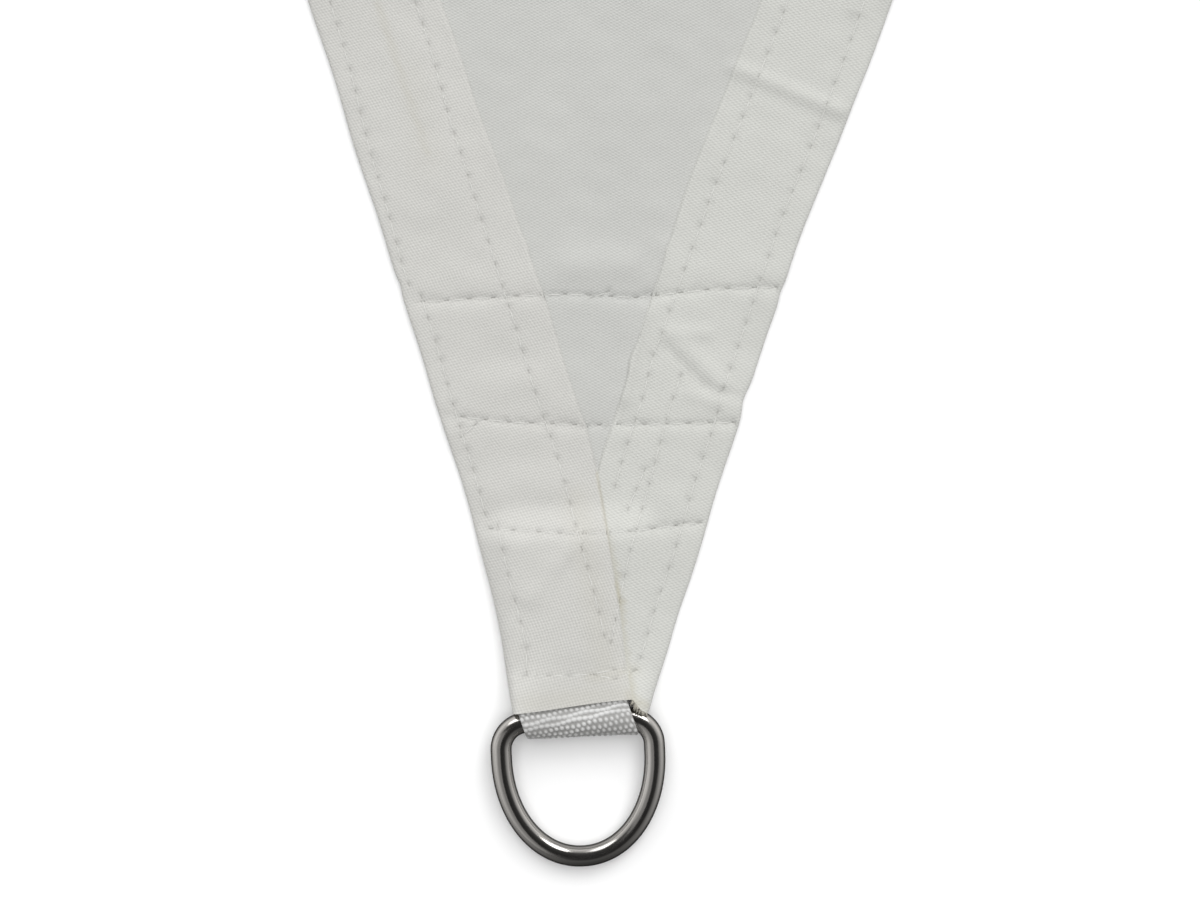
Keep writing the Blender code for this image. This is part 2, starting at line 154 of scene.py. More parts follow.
# Low ridges that the folded sail keeps when it is laid out, as in the frame
Ridge = namedtuple("Ridge", "x y heading length half_width height")
RIDGES = (
    Ridge(0.02, 0.02, 91.0, 2.20, 0.105, 0.0060),
    Ridge(-0.05, 0.46, 2.0, 2.30, 0.095, 0.0045),
    Ridge(0.04, -0.42, -3.0, 1.00, 0.085, 0.0040),
    Ridge(-0.74, 0.34, 58.0, 1.00, 0.115, 0.0050),
    Ridge(0.78, 0.30, -63.0, 0.95, 0.105, 0.0050),
)

# The cut tip of the cloth: across the corner and inward from the tip, in millimetres, and how
# far each corner's cut is turned
TIP_CUT_X = (-18.0, -8.0, 0.0, 7.0, 12.1, 12.6, 13.6, 15.2, 18.0)
TIP_CUT_Y = (-1.2, 0.3, 1.7, 2.8, 3.3, 2.5, 1.1, 0.2, 0.5)
CUT_TURNS = (0.0, -3.5, -0.5)

# Rows of stitches across a corner: knots across (u) and inward from the tip (v), in millimetres.
# groove is how deep the row is pulled in; above and below are the bulges of cloth beside it.
CrossRow = namedtuple("CrossRow", "knots groove above below")
CROSS_ROWS = (
    CrossRow(((-40.1, 96.2), (-21.8, 97.8), (-4.9, 99.0), (9.6, 98.4), (29.6, 101.0),
              (44.0, 101.8)), 0.30, 0.42, 0.32),
    CrossRow(((-30.0, 69.0), (-20.1, 68.1), (-0.4, 67.8), (17.7, 68.5), (34.6, 69.3)),
             0.30, 0.40, 0.36),
    CrossRow(((-22.6, 42.6), (-2.3, 41.9), (11.5, 42.9), (27.0, 45.2)), 0.28, 0.30, 0.36),
    CrossRow(((-13.4, 8.0), (-2.5, 8.3), (3.0, 8.9), (8.4, 10.2), (12.5, 10.1)), 0.20, 0.0, 0.0),
)
# Short runs of stitches on their own, in the same millimetres
SHORT_ROWS = (
    ((3.2, 8.6), (7.1, 7.6), (10.4, 8.6), (12.3, 9.8)),
    ((-26.8, 67.4), (-30.0, 64.4)),
    ((0.1, 98.2), (3.9, 99.7)),
    ((21.7, 80.1), (19.1, 71.9), (15.0, 54.7), (10.4, 37.2), (6.6, 16.4)),
    ((13.7, 57.5), (9.9, 48.1)),
)

# Rows along the hems: distance from the tip and distance inside the edge, in millimetres.
# The left hem is on the left when the tip points down, and it lies over the right hem.
LEFT_ROWS = (
    ((176.0, 5.4), (150.0, 4.2), (125.0, 3.0), (100.0, 2.0)),
    ((96.5, 4.3), (75.0, 4.0), (45.0, 3.2)),
    ((41.5, 5.5), (27.0, 4.9), (12.0, 5.8), (8.0, 4.9)),
    ((176.0, 24.4), (115.0, 23.4), (60.0, 23.4), (25.0, 23.6), (11.0, 24.6)),
)
RIGHT_ROWS = (
    ((176.0, 6.4), (135.0, 5.7), (60.0, 5.6), (12.0, 5.7)),
    ((176.0, 23.5), (110.0, 23.3), (82.0, 23.9), (46.5, 23.6)),
)
MIDDLE_ROWS = ((5.4, 24.4), (6.4, 23.5))    # inset of each row where it leaves the two corners

# Soft ridges (height above 0) and creases (below 0) of a corner, in millimetres
Fold = namedtuple("Fold", "u0 v0 u1 v1 half_width height")
FOLDS = (
    Fold(17.5, 87.4, 28.2, 77.4, 0.9, -0.50),
    Fold(28.2, 77.4, 36.8, 75.2, 1.3, -0.50),
    Fold(21.5, 87.6, 31.0, 79.0, 3.6, 0.55),
    Fold(18.0, 90.2, 27.5, 90.6, 2.6, 0.40),
    Fold(24.0, 76.0, 31.0, 73.6, 2.6, 0.35),
    Fold(32.5, 154.0, 58.5, 144.0, 2.6, 0.62),
    Fold(32.0, 150.4, 57.0, 140.6, 2.8, -0.12),
    Fold(-13.4, 26.2, -4.0, 37.8, 3.4, 0.46),
    Fold(-16.6, 22.6, -8.4, 33.0, 3.0, -0.16),
    Fold(-24.0, 52.0, -8.0, 53.5, 7.0, 0.45),
    Fold(-24.0, 76.5, -14.0, 78.0, 6.5, 0.50),
    Fold(9.0, 107.0, -6.0, 106.0, 6.0, 0.50),
    Fold(12.5, 96.0, 8.4, 74.0, 2.4, 0.60),
    Fold(17.2, 112.0, 14.2, 101.0, 2.4, 0.55),
)

# Yellowed places of a corner, in millimetres
Ageing = namedtuple("Ageing", "u0 v0 u1 v1 half_width strength")
AGEINGS = (
    Ageing(2.3, 56.4, 8.3, 27.7, 0.6, 0.62),
    Ageing(8.3, 27.7, 12.2, 2.6, 0.6, 0.70),
    Ageing(7.6, 30.5, 8.7, 25.5, 0.8, 1.0),
    Ageing(-2.0, 50.0, 5.5, 10.0, 6.0, 0.18),
    Ageing(-13.0, 1.5, 10.0, 4.5, 4.0, 0.20),
    Ageing(2.0, 8.0, 12.5, 10.0, 2.6, 0.30),
    Ageing(11.0, 4.0, 15.0, 1.5, 2.0, 0.70),
    Ageing(-44.0, 150.0, -40.0, 130.0, 7.0, 0.08),
    Ageing(-53.0, 168.0, -40.0, 132.0, 1.6, 0.30),
)

# Two crossing sets of yarns for the panel, the left hems and the right hems: heading and pitch
# in millimetres of each
Yarns = namedtuple("Yarns", "first first_pitch second second_pitch")
YARNS = (
    Yarns(85.4, 0.73, 2.2, 1.40),
    Yarns(146.8, 0.82, 54.6, 1.20),
    Yarns(62.4, 0.76, -12.0, 1.45),
)

# Lattice of cloth points: out to a distance from the nearest tip
Lattice = namedtuple("Lattice", "reach spacing")
TOP_LATTICES = (
    Lattice(CORNER_ZONE, 1.45 * MM),
    Lattice(260.0 * MM, 5.0 * MM),
    Lattice(500.0 * MM, 14.0 * MM),
    Lattice(SIDE, 30.0 * MM),
)
UNDER_LATTICES = (
    Lattice(CORNER_ZONE, 12.0 * MM),
    Lattice(500.0 * MM, 30.0 * MM),
    Lattice(SIDE, 60.0 * MM),
)


# ---- small helpers ----

def polar(angle):
    return np.stack((np.cos(angle), np.sin(angle)), axis=-1)


def smooth(value):
    value = np.clip(value, 0.0, 1.0)
    return value * value * (3.0 - 2.0 * value)


def ripple(points, wavelength, seed):
    """Soft uneven waves between about -1 and 1, the same each run."""
    draw = np.random.default_rng(seed)
    total = np.zeros(len(points))
    waves = 7
    for _ in range(waves):
        heading = draw.uniform(0.0, 2.0 * math.pi)
        length = wavelength * draw.uniform(0.7, 1.5)
        phase = draw.uniform(0.0, 2.0 * math.pi)
        total += np.sin(points @ polar(np.array(heading)) * 2.0 * math.pi / length + phase)
    return total / math.sqrt(2.0 * waves)


def segment_distance(points, start, end):
    along = end - start
    share = np.clip((points - start) @ along / (along @ along), 0.0, 1.0)
    return np.linalg.norm(points - start - share[:, None] * along, axis=1)


# ---- outline, in the plane, about the middle of the sail's triangle ----

def from_tip_along(swing):
    """Distance inward from the nearer cut tip of the place at a swing along an edge."""
    return EDGE_RADIUS * (HALF_ARC - np.abs(swing)) * math.cos(CORNER_HALF) - TIP_INSET


def tip_flare(away):
    """Outward shift of an edge towards its tips, at distances from the cut tip."""
    away = np.maximum(away, -TIP_INSET)
    return TIP_FLARE * math.cos(CORNER_HALF) * np.exp(-away / FLARE_LENGTH)


def left_or_right(table, swing):
    """Reads a table of distance from the tip, left and right value at a swing along an edge."""
    away = from_tip_along(swing) / MM
    columns = np.array(table).T
    left = np.interp(away, columns[0], columns[1])
    right = np.interp(away, columns[0], columns[2])
    return np.where(np.asarray(swing) > 0.0, left, right)


def edge_shift(side, swing):
    """Outward shift of an edge: the flare of its tips, and its own small unevenness."""
    away = from_tip_along(swing)
    flare = tip_flare(away)
    run = EDGE_RADIUS * swing
    uneven = 0.16 * MM * np.sin(run / (9.0 * MM) + side)
    uneven = uneven + 0.14 * MM * np.sin(run / (5.2 * MM) + 2.0)
    uneven *= smooth((CORNER_ZONE + 30.0 * MM - away) / (30.0 * MM))
    uneven += 1.2 * MM * smooth((away - 0.25) / 0.4) * np.sin(run / 0.12 + 2.0 * side)
    swerve = left_or_right(SWERVES, swing) * MM
    pinch = 0.7 * MM * np.exp(-((away - 75.0 * MM) / (3.0 * MM)) ** 2) * (swing < 0.0)
    pinch += 0.35 * MM * np.exp(-((away - 100.5 * MM) / (2.0 * MM)) ** 2)
    return flare + uneven + swerve - pinch


def edge_circle(side):
    outward = math.radians(HEADINGS[side] + 60.0)
    centre = polar(np.array(outward)) * (CIRCUMRADIUS / 2.0 - HOLLOW + EDGE_RADIUS)
    return centre, outward + math.pi


def edge_point(side, swing, inset):
    centre, middle = edge_circle(side)
    swing = np.asarray(swing, float)
    reach = EDGE_RADIUS - edge_shift(side, swing) + inset
    return centre + polar(middle - swing) * reach[..., None]


def edge_place(side, points):
    """Swing along an edge, and distance inside it, of each point."""
    centre, middle = edge_circle(side)
    spokes = points - centre
    swing = middle - np.arctan2(spokes[:, 1], spokes[:, 0])
    swing = (swing + math.pi) % (2.0 * math.pi) - math.pi
    return swing, np.linalg.norm(spokes, axis=1) - EDGE_RADIUS + edge_shift(side, swing)


def hem_width(swing):
    """Width of the hem at a swing along an edge."""
    return left_or_right(HEM_WIDTHS, swing) * MM


def line_point(side, swing, line):
    """Point of a line (share, offset) along an edge, at share hem widths plus the offset inside."""
    swing = np.asarray(swing, float)
    return edge_point(side, swing, line[0] * hem_width(swing) + line[1])


def corner_axes(corner, turn):
    """Middle of a cut tip, and the axes across and inward, turned by some degrees."""
    heading = math.radians(HEADINGS[corner])
    origin = polar(np.array(heading)) * (CIRCUMRADIUS - TIP_INSET)
    across = heading + math.radians(90.0 + turn)
    return origin, np.array((polar(np.array(across)), polar(np.array(across + math.pi / 2.0))))


def to_corner(corner, points, turn=0.0):
    origin, axes = corner_axes(corner, turn)
    return (points - origin) @ axes.T


def from_corner(corner, places, turn=0.0):
    origin, axes = corner_axes(corner, turn)
    return origin + np.asarray(places, float) @ axes


def past_cut(corner, points):
    """How far inside the cut tip each point is."""
    spots = to_corner(corner, points, CUT_TURNS[corner])
    return spots[:, 1] - MM * np.interp(spots[:, 0] / MM, TIP_CUT_X, TIP_CUT_Y)


def tip_distance(points):
    return np.min([np.linalg.norm(to_corner(c, points), axis=1) for c in CORNERS], axis=0)


def tip_swing(side, end, line):
    """Size of the swing at which a line along an edge meets the cut tip."""
    corner = side if end < 0 else (side + 1) % 3
    low = HALF_ARC - 150.0 * MM / EDGE_RADIUS
    high = HALF_ARC
    for _ in range(46):
        middle = (low + high) / 2.0
        if past_cut(corner, line_point(side, [end * middle], line))[0] > 0.0:
            low = middle
        else:
            high = middle
    return low


def edge_line(side, line, fine, coarse):
    """Points of a line along an edge: fine spacing in the corner zones, growing to coarse."""
    halves = []
    for end in (-1, 1):
        swing = tip_swing(side, end, line)
        step = fine
        swings = []
        while swing > 0.6 * step / EDGE_RADIUS:
            swings.append(end * swing)
            swing -= step / EDGE_RADIUS
            if from_tip_along(swing) > CORNER_ZONE:
                step = min(step * 1.12, coarse)
        halves.append(swings)
    return line_point(side, halves[0] + [0.0] + halves[1][::-1], line)


def tip_line(corner, lines, spacing):
    """The cut tip from the end of one edge to the start of the next."""
    before = (corner + 2) % 3
    places = []
    for line in lines:
        places.append(line_point(before, [tip_swing(before, 1, line)], line)[0])
        places.append(line_point(corner, [-tip_swing(corner, -1, line)], line)[0])
    spots = to_corner(corner, np.array(places), CUT_TURNS[corner])
    low = spots[:, 0].min()
    high = spots[:, 0].max()
    for x in np.arange(low + spacing, high - 0.5 * spacing, spacing):
        if np.abs(spots[:, 0] - x).min() > 0.35 * spacing:
            y = MM * np.interp(x / MM, TIP_CUT_X, TIP_CUT_Y)
            spots = np.vstack((spots, (x, y)))
    return from_corner(corner, spots[np.argsort(spots[:, 0])], CUT_TURNS[corner])


# ---- heights of the cloth ----

def leg_rise(shift=0.0):
    """Angle at which the webbing's upper leg climbs to the top of its turn round the bar."""
    run = LEGS_MEET + BAR_OUT + shift
    drop = BAR_Z - UPPER_LEG_Z
    return math.atan2(drop, run) + math.asin(TURN_RADIUS / math.hypot(run, drop))


def lift(points):
    """Height of the cloth's underside."""
    squares = np.zeros(len(points))
    for ridge in RIDGES:
        along = polar(np.array(math.radians(ridge.heading)))
        offset = points - (ridge.x, ridge.y)
        run = np.abs(offset @ along) / (ridge.length / 2.0)
        across = np.abs(offset @ (along[1], -along[0])) / ridge.half_width
        squares += (ridge.height * smooth(1.0 - across) * smooth(3.0 * (1.0 - run))) ** 2
    loose = smooth((tip_distance(points) - 0.25) / 0.5)
    waves = np.maximum(ripple(points, 0.55, 5) + 0.6 * ripple(points, 0.21, 6), 0.0)
    return np.sqrt(squares + (0.0016 * loose * waves) ** 2)


def hem_profile(into):
    """Height of a hem, with a low roll along its sharp inner edge."""
    rise = smooth((into + 0.04 * MM) / (0.44 * MM))
    roll = np.exp(-((into - 0.7 * MM) / (0.7 * MM)) ** 2) * (into > 0.0)
    return HEM_FOLD * rise + LIP * roll * rise


def pillow(spots):
    """Bulges of the cloth above and below each cross row, in metres, from spots in metres."""
    u = spots[:, 0] / MM
    v = spots[:, 1] / MM
    total = np.zeros(len(spots))
    for index, row in enumerate(CROSS_ROWS):
        knots = np.array(row.knots)
        beyond = v - np.interp(u, knots[:, 0], knots[:, 1])
        uneven = 0.72 + 0.28 * np.sin(u / 6.3 + 2.1 * index)
        up = np.maximum(beyond, 0.0) / (4.2 + 1.0 * np.sin(u / 9.0 + index))
        down = np.maximum(-beyond, 0.0) / 3.4
        total += row.above * uneven * up * np.exp(1.0 - up)
        total += row.below * uneven * down * np.exp(1.0 - down)
    return total * MM


def corner_relief(corner, points):
    """Puckers, creases and soft cloudiness of the cloth's top at a corner."""
    spots = to_corner(corner, points)
    near = smooth((CORNER_ZONE * 1.25 - spots[:, 1]) / (60.0 * MM)) * (spots[:, 1] > -20.0 * MM)
    tied = smooth((spots[:, 1] - 8.0 * MM) / (16.0 * MM))
    total = pillow(spots) * tied
    for fold in FOLDS:
        start = np.array((fold.u0, fold.v0)) * MM
        end = np.array((fold.u1, fold.v1)) * MM
        away = segment_distance(spots, start, end) / (fold.half_width * MM)
        total += fold.height * MM * smooth(1.0 - away)
    total += 0.16 * MM * ripple(spots, 24.0 * MM, 11) + 0.07 * MM * ripple(spots, 9.0 * MM, 12)
    return total * near


def ageing(points):
    """How yellowed the cloth is at each point."""
    total = np.zeros(len(points))
    for corner in CORNERS:
        spots = to_corner(corner, points)
        for mark in AGEINGS:
            start = np.array((mark.u0, mark.v0)) * MM
            end = np.array((mark.u1, mark.v1)) * MM
            away = segment_distance(spots, start, end) / (mark.half_width * MM)
            total = np.maximum(total, mark.strength * smooth(1.0 - away))
    return total


def tip_shading(points):
    """How much shade is painted on the cloth towards its cut tips."""
    return 0.6 * smooth((17.0 * MM - tip_distance(points)) / (9.0 * MM))


def cover_height(corner, points):
    """Height of the cloth's top over the webbing, and how far it applies at each point."""
    spots = to_corner(corner, points, RING_TURNS[corner]) - (SIDESTEPS[corner], 0.0)
    rise = leg_rise()
    climb_from = LEGS_MEET + (COVER_TOP - UPPER_LEG_Z) * math.tan(rise / 2.0)
    past = climb_from - spots[:, 1]
    soft = 1.6 * MM
    climb = 0.5 * (past + np.sqrt(past ** 2 + soft ** 2))
    beside = np.maximum(np.abs(spots[:, 0]) - STRAP_WIDTH / 2.0, 0.0)
    beyond = np.maximum(spots[:, 1] - STRAP_LEG, 0.0)
    return COVER_TOP + climb * math.tan(rise), smooth(1.0 - np.hypot(beside, beyond) / COVER_FADE)


def covered(side, points):
    """Which points of an edge's hem lie under the end of the hem before it."""
    swing, _ = edge_place(side, points)
    other_swing, other_inside = edge_place(side - 1, points)
    return (swing < 0.0) & (hem_width(other_swing) - other_inside > 0.0)


def top_height(points):
    """Height of the cloth's top, before stitches pull it down."""
    thick = np.full(len(points), PANEL)
    rim = np.ones(len(points))
    steps = np.array(OUTER_LINES)
    places = [edge_place(side, points) for side in CORNERS]
    intos = [hem_width(swing) - inside for swing, inside in places]
    for side, (swing, inside) in enumerate(places):
        soft = HEM_FOLD * smooth(intos[side] / (9.0 * MM) + 0.5)
        thick += np.where(covered(side, points), soft, hem_profile(intos[side]))
        rim = np.minimum(rim, np.interp(inside, steps[:, 0], steps[:, 1]))
    height = thick
    for corner in CORNERS:
        cover, share = cover_height(corner, points)
        height = height + (cover - height) * share
        height = height + corner_relief(corner, points)
    return lift(points) + np.maximum(height, 0.35 * MM) * rim


# ---- stitches ----

def walk(knots, pitch, uneven):
    """Points at even steps along a line of knots."""
    knots = np.array(knots, float)
    spans = np.linalg.norm(np.diff(knots, axis=0), axis=1)
    reached = np.concatenate(((0.0,), np.cumsum(spans)))
    count = max(int(round(reached[-1] / pitch)), 1)
    stops = np.linspace(0.0, reached[-1], count + 1)
    if uneven is not None and count > 2:
        stops[1:-1] += uneven.uniform(-0.07, 0.07, count - 1) * pitch
    return np.stack([np.interp(stops, reached, knots[:, axis]) for axis in (0, 1)], axis=-1)


def hem_run(side, end, knots):
    """A hem row in a corner zone, as points in the plane about 4 mm apart."""
    away, inset = np.array(knots).T
    steps = np.linspace(away[0], away[-1], max(int(abs(away[0] - away[-1]) / 4.0), 2))
    insets = np.interp(steps, away[::-1], inset[::-1])
    swings = HALF_ARC - (steps * MM + TIP_INSET) / math.cos(CORNER_HALF) / EDGE_RADIUS
    return edge_point(side, end * swings, insets * MM)


def corner_rows(corner):
    """Every row of a corner as (points in the plane, groove depth)."""
    before = (corner + 2) % 3
    rows = [(hem_run(before, 1, knots), 0.10) for knots in LEFT_ROWS]
    rows += [(hem_run(corner, -1, knots), 0.10) for knots in RIGHT_ROWS]
    rows += [(from_corner(corner, np.array(row.knots) * MM), row.groove) for row in CROSS_ROWS]
    rows += [(from_corner(corner, np.array(knots) * MM), 0.12) for knots in SHORT_ROWS]
    return rows


def middle_rows(side):
    """The two rows along an edge between its corner zones."""
    swing = HALF_ARC - (CORNER_ZONE + TIP_INSET) / math.cos(CORNER_HALF) / EDGE_RADIUS
    swings = np.linspace(-swing, swing, 120)
    for at_left, at_right in zip(*MIDDLE_ROWS):
        insets = np.interp(swings, (-swing, swing), (at_right, at_left))
        yield edge_point(side, swings, insets * MM)


# ---- cloth mesh ----

class Plan:
    """Points in the plane, how far stitches pull each one down, how much shade is painted on each,
    and the lines that are kept.
    """

    def __init__(self):
        self.points = []
        self.sinks = []
        self.shade_paints = []
        self.lines = []
        self.rim = []

    def add(self, points, sink=0.0, shade_paint=0.0):
        first = len(self.points)
        self.points.extend(np.asarray(points, float))
        self.sinks.extend([sink] * len(points))
        self.shade_paints.extend(np.broadcast_to(shade_paint, len(points)))
        return range(first, len(self.points))

    def add_line(self, points, sink=0.0, shade_paint=0.0):
        placed = self.add(points, sink, shade_paint)
        self.lines.extend(zip(placed[:-1], placed[1:]))
        return placed


def inside_sail(points, margin=0.0):
    kept = np.ones(len(points), bool)
    for side in CORNERS:
        kept &= edge_place(side, points)[1] > margin
        kept &= past_cut(side, points) > margin
    return kept


def crowded(points, taken, clearance):
    """Which points are nearer than their clearance to one already taken."""
    tree = kdtree.KDTree(len(taken))
    for index, place in enumerate(taken):
        tree.insert((place[0], place[1], 0.0), index)
    tree.balance()
    return np.array([tree.find((x, y, 0.0))[2] < clearance for x, y in points])


def lattice_points(lattice, nearest):
    """A triangular lattice, from nearest to lattice.reach away from a tip."""
    row_height = lattice.spacing * math.sqrt(0.75)
    found = []
    centres = [corner_axes(c, 0.0)[0] for c in CORNERS] if lattice.reach < 1.0 else [np.zeros(2)]
    reach = min(lattice.reach, 1.05 * CIRCUMRADIUS)
    rows = np.arange(-int(reach / row_height), int(reach / row_height) + 1)
    columns = np.arange(-int(reach / lattice.spacing), int(reach / lattice.spacing) + 1)
    grid_row, grid_column = np.meshgrid(rows, columns, indexing="ij")
    for centre in centres:
        x = (grid_column + 0.5 * (grid_row % 2)) * lattice.spacing
        spots = centre + np.stack((x, grid_row * row_height), axis=-1).reshape(-1, 2)
        away = tip_distance(spots)
        found.append(spots[(away >= nearest) & (away <= lattice.reach)])
    return np.concatenate(found)


def add_outline(plan, lines, fine, coarse):
    """The closed outline of the sail, whose points the top and the underside share."""
    for side in CORNERS:
        start = plan.add_line(tip_line(side, lines, fine))
        line = edge_line(side, (0.0, 0.0), fine, coarse)
        placed = plan.add_line(line[1:-1])
        plan.lines.append((start[-1], placed[0]))
        plan.rim.append((start, placed))
    for side in CORNERS:
        plan.lines.append((plan.rim[side][1][-1], plan.rim[(side + 1) % 3][0][0]))


def rim_loop(plan):
    return [index for tip, edge in plan.rim for index in (*tip, *edge)]


def add_pits(plan, holes, headings):
    """A small long pit in the cloth at each needle hole, with shade painted dark in its middle and
    lightly round it.
    """
    for hole, heading in zip(holes, headings):
        along = heading * PIT_LENGTH / 2.0
        across = np.array((-heading[1], heading[0])) * PIT_WIDTH / 2.0
        plan.add([hole - 0.45 * along, hole + 0.45 * along], PIT_DEPTH, 1.0)
        rim = [along, 0.6 * along + across, -0.6 * along + across, -along,
               -0.6 * along - across, 0.6 * along - across]
        plan.add([hole + offset for offset in rim], 0.10 * PIT_DEPTH, 0.25)


def heading_of(points):
    ways = np.gradient(points, axis=0)
    return ways / np.linalg.norm(ways, axis=1)[:, None]


def add_rows(plan, stitches):
    """Grooves and pits along every row of a corner, with shade painted along the middle of each
    groove; collects the needle holes.
    """
    for corner in CORNERS:
        for number, (path, groove) in enumerate(corner_rows(corner)):
            draw = np.random.default_rng(100 * corner + number)
            holes = walk(path, STITCH, draw)
            headings = heading_of(holes)
            stitches.append((holes, groove * MM))
            add_pits(plan, holes, headings)
            middle = walk(path, 1.3 * MM, None)
            clear = ~crowded(middle, holes, 1.15 * MM)
            ways = heading_of(middle)
            sideways = np.stack((-ways[:, 1], ways[:, 0]), axis=-1) * 0.75 * MM
            # Painted shade along the middle of the groove
            plan.add(middle[clear], groove * MM, 0.28)
            for edge in (middle + sideways, middle - sideways):
                plan.add(edge[clear], 0.15 * groove * MM)


def add_lattices(plan, lattices):
    taken = list(plan.points)
    nearest = 0.0
    for lattice in lattices:
        spots = lattice_points(lattice, nearest)
        spots = spots[inside_sail(spots, 0.4 * lattice.spacing)]
        spots = spots[~crowded(spots, taken, 0.55 * lattice.spacing)]
        plan.add(spots)
        nearest = lattice.reach


def inside_loop(loop, points):
    """Which points lie inside a closed loop of straight pieces."""
    inside = np.zeros(len(points), bool)
    x, y = points.T
    for (x0, y0), (x1, y1) in zip(loop, np.roll(loop, -1, axis=0)):
        if y0 == y1:
            continue
        beside = (y0 > y) != (y1 > y)
        inside ^= beside & (x < x0 + (y - y0) * (x1 - x0) / (y1 - y0))
    return inside


def cloth_layer(plan):
    """Points and triangles of one face of the cloth, with what the stitches do to each point and
    the shade painted on it.
    """
    flat = [Vector(place) for place in plan.points]
    points, _, faces, origins, _, _ = delaunay_2d_cdt(flat, plan.lines, [], 0, 1e-7, True)
    points = np.array(points)
    faces = np.array([list(face) for face in faces])
    sinks = np.zeros(len(points))
    shade_paints = np.zeros(len(points))
    place_of = {}
    for index, origin in enumerate(origins):
        for source in origin:
            place_of[source] = index
            sinks[index] = max(sinks[index], plan.sinks[source])
            shade_paints[index] = max(shade_paints[index], plan.shade_paints[source])
    loop = [place_of[index] for index in rim_loop(plan)]
    on_rim = np.zeros(len(points), bool)
    on_rim[loop] = True
    doubtful = on_rim[faces].all(axis=1)
    kept = ~doubtful
    kept[doubtful] = inside_loop(points[loop], points[faces[doubtful]].mean(axis=1))
    return points, faces[kept], sinks, shade_paints, loop


def weave_places(points, faces):
    """Where each face's corners lie before its hem is folded over, and the side of that hem."""
    middles = points[faces].mean(axis=1)
    hem_of = np.full(len(faces), -1)
    for side in CORNERS:
        swing, inside = edge_place(side, middles)
        in_hem = inside < hem_width(swing)
        over = in_hem & ((hem_of < 0) | (swing > 0.0))
        hem_of[over] = side
    places = points[faces].copy()
    for side in CORNERS:
        chosen = hem_of == side
        flat = places[chosen].reshape(-1, 2)
        swing, _ = edge_place(side, flat)
        places[chosen] = (2.0 * edge_point(side, swing, 0.0) - flat).reshape(-1, 3, 2)
    return places, hem_of


def new_object(name, mesh):
    item = bpy.data.objects.new(name, mesh)
    bpy.context.scene.collection.objects.link(item)
    return item


def mesh_object(name, vertices, faces, materials):
    mesh = bpy.data.meshes.new(name)
    mesh.from_pydata([tuple(place) for place in vertices], [], [tuple(face) for face in faces])
    for made in materials:
        mesh.materials.append(made)
    return new_object(name, mesh)


def float_attribute(mesh, name, domain, values):
    made = mesh.attributes.new(name, "FLOAT", domain)
    made.data.foreach_set("value", np.asarray(values, np.float32))


def build_cloth(shift, canvas, stitches):
    """The sail's cloth as one closed sheet."""
    lines = [(0.0, line[0]) for line in OUTER_LINES]
    lines += [(1.0, -line.into) for line in INNER_LINES]
    shades = [0.0] * len(OUTER_LINES) + [line.shade for line in INNER_LINES]
    top_plan = Plan()
    add_outline(top_plan, lines, RIM_FINE, RIM_COARSE)
    for side in CORNERS:
        # Painted shade along the foot of each hem's inner edge, left off where the hem before lies
        # over it
        for line, shade in zip(lines[1:], shades[1:]):
            path = edge_line(side, line, RIM_FINE, RIM_COARSE)
            top_plan.add_line(path, 0.0, np.where(covered(side, path), 0.0, shade))
    add_rows(top_plan, stitches)
    add_lattices(top_plan, TOP_LATTICES)
    under_plan = Plan()
    add_outline(under_plan, lines, RIM_FINE, RIM_COARSE)
    add_lattices(under_plan, UNDER_LATTICES)

    top, top_faces, sinks, shade_paints, top_loop = cloth_layer(top_plan)
    under, under_faces, _, _, under_loop = cloth_layer(under_plan)
    heights = np.maximum(top_height(top) - sinks, lift(top) + 0.12 * MM)
    first_under = len(top)
    vertices = np.vstack((np.column_stack((top + shift, heights)),
                          np.column_stack((under + shift, lift(under)))))
    faces = [list(face) for face in top_faces]
    faces += [[first_under + corner for corner in reversed(face)] for face in under_faces.tolist()]
    count = len(top_loop)
    for here in range(count):
        after = (here + 1) % count
        faces.append([top_loop[here], first_under + under_loop[here],
                      first_under + under_loop[after], top_loop[after]])

    cloth = mesh_object("sail_sheet", vertices, faces, [canvas])
    mesh = cloth.data
    places, hem_of = weave_places(top, top_faces)
    plane = np.vstack((top, under))
    wall_places = [plane[corner] for face in faces[-count:] for corner in face]
    weave = np.vstack((places.reshape(-1, 2), under[under_faces[:, ::-1]].reshape(-1, 2),
                       wall_places))
    layer = mesh.uv_layers.new(name="weave")
    layer.data.foreach_set("uv", weave.astype(np.float32).ravel())
    hems = np.concatenate(((hem_of >= 0).astype(float), np.zeros(len(under_faces)), np.ones(count)))
    float_attribute(mesh, "hem", "FACE", hems)
    handed = np.concatenate((side_tint(top[top_faces].mean(axis=1), hem_of),
                             np.zeros(len(under_faces) + count)))
    float_attribute(mesh, "handed", "FACE", handed)
    # Painted shade: in the needle pits, along the grooves and hem edges, and towards the cut tips
    painted_shade = np.maximum(shade_paints, tip_shading(top))
    float_attribute(mesh, "pit", "POINT", np.concatenate((painted_shade, np.zeros(len(under)))))
    float_attribute(mesh, "tan", "POINT", np.concatenate((ageing(top), np.zeros(len(under)))))
    mesh.shade_smooth()
    mesh.set_sharp_from_angle(angle=math.radians(62.0))
    mesh.validate()
    drop_loose(mesh)
    return cloth


def side_tint(middles, hem_of):
    """1 where a hem is the left one of its corner, 0 where it is the right one."""
    tint = np.full(len(middles), 0.5)
    for side in CORNERS:
        swing, _ = edge_place(side, middles)
        chosen = hem_of == side
        tint[chosen] = smooth(swing / HALF_ARC * 0.8 + 0.5)[chosen]
    return tint


def drop_loose(mesh):
    """Remove vertices that no face uses."""
    shape = bmesh.new()
    shape.from_mesh(mesh)
    bmesh.ops.delete(shape, geom=[v for v in shape.verts if not v.link_faces], context="VERTS")
    shape.to_mesh(mesh)
    shape.free()


# ---- thread ----

